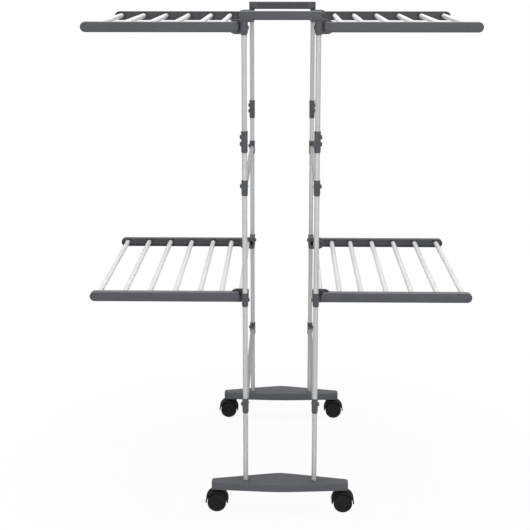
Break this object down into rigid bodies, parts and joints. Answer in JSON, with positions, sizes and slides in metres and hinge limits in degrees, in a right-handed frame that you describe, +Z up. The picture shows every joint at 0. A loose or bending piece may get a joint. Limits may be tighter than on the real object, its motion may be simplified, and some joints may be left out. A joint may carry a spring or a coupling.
{
  "type": "rolling clothes drying rack",
  "caption": "Rolling clothes drying rack: end frames on castors joined by cross tubes, with folding trays of hanging rods.",
  "frame": {"origin": "on the floor, at the middle of the rack's footprint", "axes": "+Z up, +X to the right when facing one end, +Y from the front end frame to the rear one; the trays reach out along X and their rods run along Y"},
  "size_m": [0.796, 0.6, 1.054],
  "materials": {
    "base_plastic": "fine moulded grain, dark grey",
    "fitting_plastic": "satin moulded plastic, dark grey",
    "arm_plastic": "satin moulded plastic, dark grey",
    "pole_tube": "silver grey paint on steel tube",
    "cross_tube": "silver grey paint on steel tube",
    "tray_rod": "pale grey coating on steel tube",
    "castor_plastic": "black moulded nylon",
    "wheel_plastic": "black moulded nylon with a matt tread"
  },
  "bodies": {
    "frame": {"front_base": "base_plastic", "front_top_bar": "fitting_plastic", "front_left_lower_pole": "pole_tube", "front_left_upper_pole": "pole_tube", "front_left_pole_coupling": "fitting_plastic", "front_left_upper_tee": "fitting_plastic", "front_left_upper_bracket": "fitting_plastic", "front_left_lower_tee": "fitting_plastic", "front_left_lower_bracket": "fitting_plastic", "front_right_lower_pole": "pole_tube", "front_right_upper_pole": "pole_tube", "front_right_pole_coupling": "fitting_plastic", "front_right_upper_tee": "fitting_plastic", "front_right_upper_bracket": "fitting_plastic", "front_right_lower_tee": "fitting_plastic", "front_right_lower_bracket": "fitting_plastic", "rear_base": "base_plastic", "rear_top_bar": "fitting_plastic", "rear_left_lower_pole": "pole_tube", "rear_left_upper_pole": "pole_tube", "rear_left_pole_coupling": "fitting_plastic", "rear_left_upper_tee": "fitting_plastic", "rear_left_upper_bracket": "fitting_plastic", "rear_left_lower_tee": "fitting_plastic", "rear_left_lower_bracket": "fitting_plastic", "rear_right_lower_pole": "pole_tube", "rear_right_upper_pole": "pole_tube", "rear_right_pole_coupling": "fitting_plastic", "rear_right_upper_tee": "fitting_plastic", "rear_right_upper_bracket": "fitting_plastic", "rear_right_lower_tee": "fitting_plastic", "rear_right_lower_bracket": "fitting_plastic", "left_upper_cross_tube": "cross_tube", "left_upper_stretcher_rod": "tray_rod", "left_lower_cross_tube": "cross_tube", "left_lower_stretcher_rod": "tray_rod", "right_upper_cross_tube": "cross_tube", "right_upper_stretcher_rod": "tray_rod", "right_lower_cross_tube": "cross_tube", "right_lower_stretcher_rod": "tray_rod"},
    "front_left_castor": {"front_left_castor_housing": "castor_plastic"},
    "front_left_wheels": {"front_left_castor_front_wheel": "wheel_plastic", "front_left_castor_rear_wheel": "wheel_plastic"},
    "front_right_castor": {"front_right_castor_housing": "castor_plastic"},
    "front_right_wheels": {"front_right_castor_front_wheel": "wheel_plastic", "front_right_castor_rear_wheel": "wheel_plastic"},
    "rear_left_castor": {"rear_left_castor_housing": "castor_plastic"},
    "rear_left_wheels": {"rear_left_castor_front_wheel": "wheel_plastic", "rear_left_castor_rear_wheel": "wheel_plastic"},
    "rear_right_castor": {"rear_right_castor_housing": "castor_plastic"},
    "rear_right_wheels": {"rear_right_castor_front_wheel": "wheel_plastic", "rear_right_castor_rear_wheel": "wheel_plastic"},
    "left_upper_tray": {"left_upper_front_arm_with_rods": "arm_plastic", "left_upper_rear_arm": "arm_plastic"},
    "left_lower_tray": {"left_lower_front_arm_with_rods": "arm_plastic", "left_lower_rear_arm": "arm_plastic"},
    "right_upper_tray": {"right_upper_front_arm_with_rods": "arm_plastic", "right_upper_rear_arm": "arm_plastic"},
    "right_lower_tray": {"right_lower_front_arm_with_rods": "arm_plastic", "right_lower_rear_arm": "arm_plastic"}
  },
  "joints": [
    {"name": "front_left_swivel", "type": "hinge", "parent": "frame", "child": "front_left_castor", "pos_m": [-0.122, -0.27, 0.0446], "axis": [0, 0, 1], "continuous": true},
    {"name": "front_left_roll", "type": "hinge", "parent": "front_left_castor", "child": "front_left_wheels", "pos_m": [-0.135, -0.27, 0.02], "axis": [0, 1, 0], "continuous": true},
    {"name": "front_right_swivel", "type": "hinge", "parent": "frame", "child": "front_right_castor", "pos_m": [0.122, -0.27, 0.0446], "axis": [0, 0, 1], "continuous": true},
    {"name": "front_right_roll", "type": "hinge", "parent": "front_right_castor", "child": "front_right_wheels", "pos_m": [0.135, -0.27, 0.02], "axis": [0, 1, 0], "continuous": true},
    {"name": "rear_left_swivel", "type": "hinge", "parent": "frame", "child": "rear_left_castor", "pos_m": [-0.122, 0.27, 0.0446], "axis": [0, 0, 1], "continuous": true},
    {"name": "rear_left_roll", "type": "hinge", "parent": "rear_left_castor", "child": "rear_left_wheels", "pos_m": [-0.135, 0.27, 0.02], "axis": [0, 1, 0], "continuous": true},
    {"name": "rear_right_swivel", "type": "hinge", "parent": "frame", "child": "rear_right_castor", "pos_m": [0.122, 0.27, 0.0446], "axis": [0, 0, 1], "continuous": true},
    {"name": "rear_right_roll", "type": "hinge", "parent": "rear_right_castor", "child": "rear_right_wheels", "pos_m": [0.135, 0.27, 0.02], "axis": [0, 1, 0], "continuous": true},
    {"name": "left_upper_fold", "type": "hinge", "parent": "frame", "child": "left_upper_tray", "pos_m": [-0.096, 0, 1.022], "axis": [0, -1, 0], "range_deg": [0, 90]},
    {"name": "left_lower_fold", "type": "hinge", "parent": "frame", "child": "left_lower_tray", "pos_m": [-0.096, 0, 0.469], "axis": [0, -1, 0], "range_deg": [0, 90]},
    {"name": "right_upper_fold", "type": "hinge", "parent": "frame", "child": "right_upper_tray", "pos_m": [0.096, 0, 1.022], "axis": [0, 1, 0], "range_deg": [0, 90]},
    {"name": "right_lower_fold", "type": "hinge", "parent": "frame", "child": "right_lower_tray", "pos_m": [0.096, 0, 0.469], "axis": [0, 1, 0], "range_deg": [0, 90]}
  ]
}
